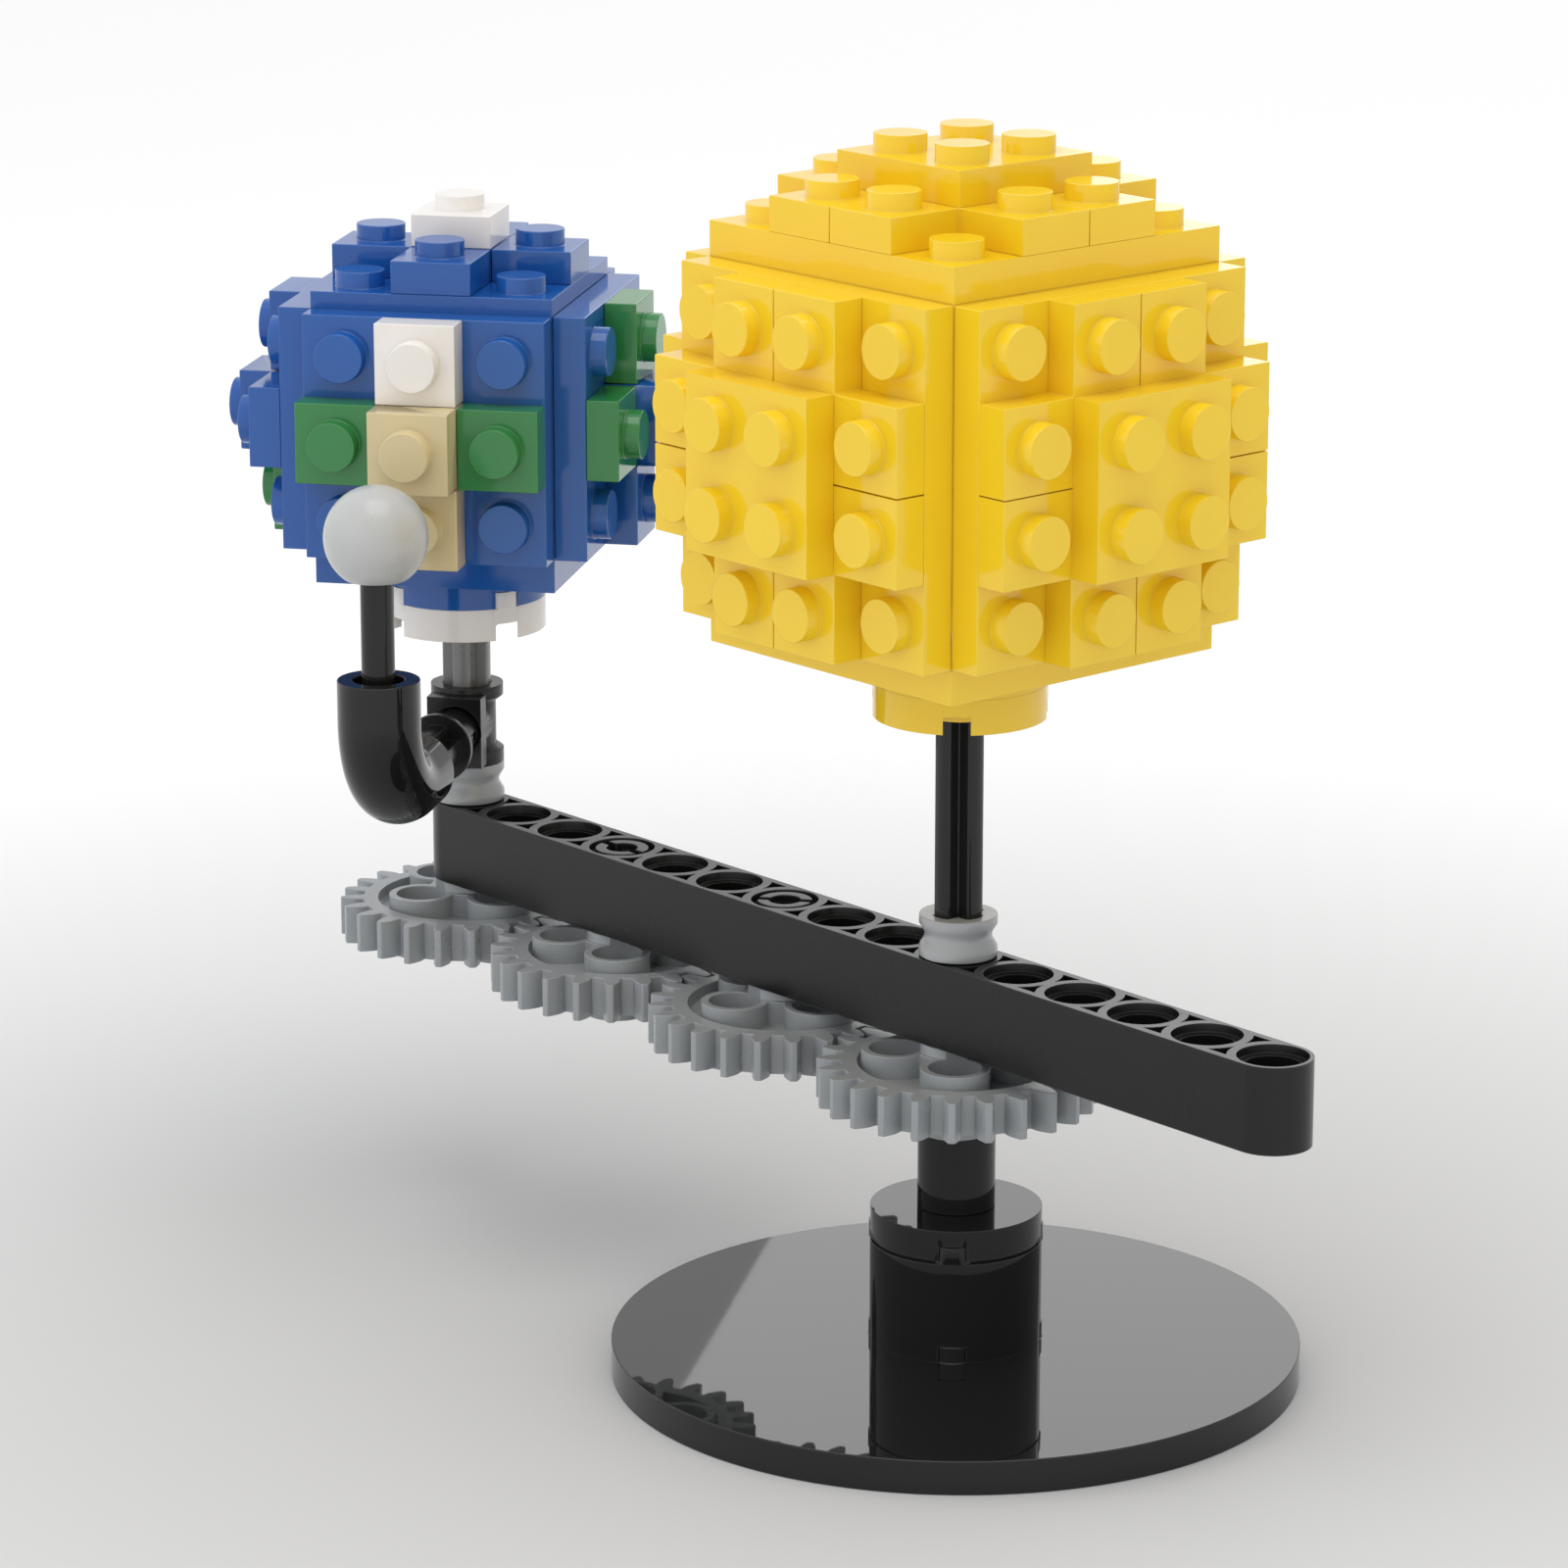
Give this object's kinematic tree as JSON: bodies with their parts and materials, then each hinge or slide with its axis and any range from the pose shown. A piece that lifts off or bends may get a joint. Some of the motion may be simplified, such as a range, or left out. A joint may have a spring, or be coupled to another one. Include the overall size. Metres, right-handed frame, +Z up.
{
  "type": "orrery",
  "caption": "Desk orrery of interlocking toy bricks: a fixed Sun over a round foot, and a geared arm that carries a turning Earth and its Moon.",
  "frame": {"origin": "underside of the round foot, on the Sun's axle", "axes": "+Z up along the Sun's axle; +X along the beam towards its free end, away from the Earth"},
  "size_m": [0.1378, 0.064, 0.1155],
  "materials": {
    "foot_black": "high gloss",
    "column_black": "high gloss",
    "spacer_black": "satin",
    "axle_black": "high gloss",
    "beam_black": "satin",
    "connector_black": "satin",
    "elbow_black": "high gloss",
    "pin_black": "satin",
    "moon_grey": "satin",
    "gear_grey": "satin",
    "bush_grey": "satin",
    "axle_grey": "satin",
    "sun_yellow": "gloss",
    "earth_blue": "gloss",
    "earth_green": "gloss",
    "earth_tan": "gloss",
    "earth_white": "gloss"
  },
  "bodies": {
    "stand": {"base_tile": "foot_black", "column_brick": "column_black", "column_tile": "column_black", "column_spacer": "spacer_black", "sun_axle": "axle_black", "sun_gear": "gear_grey", "sun_bush": "bush_grey", "sun_round_plate_lower": "sun_yellow", "sun_round_plate_upper": "sun_yellow", "sun_bottom_plate": "sun_yellow", "sun_core_plates": "sun_yellow", "sun_long_side_bricks": "sun_yellow", "sun_short_side_bricks": "sun_yellow", "sun_centre_bricks": "sun_yellow", "sun_top_plate": "sun_yellow", "sun_top_corner_plates": "sun_yellow", "sun_top_cap_plate": "sun_yellow", "sun_front_plate": "sun_yellow", "sun_front_corner_plates": "sun_yellow", "sun_front_cap_plate": "sun_yellow", "sun_right_plate": "sun_yellow", "sun_right_corner_plates": "sun_yellow", "sun_right_cap_plate": "sun_yellow", "sun_back_plate": "sun_yellow", "sun_back_corner_plates": "sun_yellow", "sun_back_cap_plate": "sun_yellow", "sun_left_plate": "sun_yellow", "sun_left_corner_plates": "sun_yellow", "sun_left_cap_plate": "sun_yellow"},
    "arm": {"beam": "beam_black"},
    "inner_idler": {"inner_idler_gear": "gear_grey", "inner_idler_pin": "pin_black"},
    "outer_idler": {"outer_idler_gear": "gear_grey", "outer_idler_pin": "pin_black"},
    "earth": {"earth_gear": "gear_grey", "earth_axle": "axle_grey", "earth_bush": "bush_grey", "earth_white_round_plate": "earth_white", "earth_blue_round_plate": "earth_blue", "earth_bottom_plate": "earth_blue", "earth_core_plates": "earth_blue", "earth_corner_bricks": "earth_blue", "earth_side_bricks": "earth_blue", "earth_centre_brick": "earth_blue", "earth_top_plate": "earth_blue", "earth_front_plate": "earth_blue", "earth_right_plate": "earth_blue", "earth_back_plate": "earth_blue", "earth_left_plate": "earth_blue", "earth_blue_squares": "earth_blue", "earth_green_squares": "earth_green", "earth_tan_squares": "earth_tan", "earth_white_squares": "earth_white"},
    "moon_carrier": {"moon_connector": "connector_black"},
    "moon_arm": {"moon_pin": "connector_black", "moon_elbow": "elbow_black", "moon_bar": "elbow_black", "moon_ball": "moon_grey"}
  },
  "joints": [
    {"name": "arm_turn", "type": "hinge", "parent": "stand", "child": "arm", "pos_m": [0, 0, 0.036], "axis": [0, 0, 1], "continuous": true},
    {"name": "inner_idler_turn", "type": "hinge", "parent": "arm", "child": "inner_idler", "pos_m": [-0.024, 0, 0.028], "axis": [0, 0, 1], "continuous": true},
    {"name": "outer_idler_turn", "type": "hinge", "parent": "arm", "child": "outer_idler", "pos_m": [-0.048, 0, 0.028], "axis": [0, 0, 1], "continuous": true},
    {"name": "earth_turn", "type": "hinge", "parent": "arm", "child": "earth", "pos_m": [-0.072, 0, 0.028], "axis": [0, 0, 1], "continuous": true},
    {"name": "moon_turn", "type": "hinge", "parent": "earth", "child": "moon_carrier", "pos_m": [-0.072, 0, 0.048], "axis": [0, 0, 1], "continuous": true},
    {"name": "moon_tilt", "type": "hinge", "parent": "moon_carrier", "child": "moon_arm", "pos_m": [-0.072, 0, 0.048], "axis": [0.5962, -0.8028, 0], "range_deg": [-90, 90]}
  ],
  "couplings": [
    {"joint": "inner_idler_turn", "follows": "arm_turn", "ratio": 1},
    {"joint": "outer_idler_turn", "follows": "arm_turn", "ratio": -1},
    {"joint": "earth_turn", "follows": "arm_turn", "ratio": 1}
  ]
}
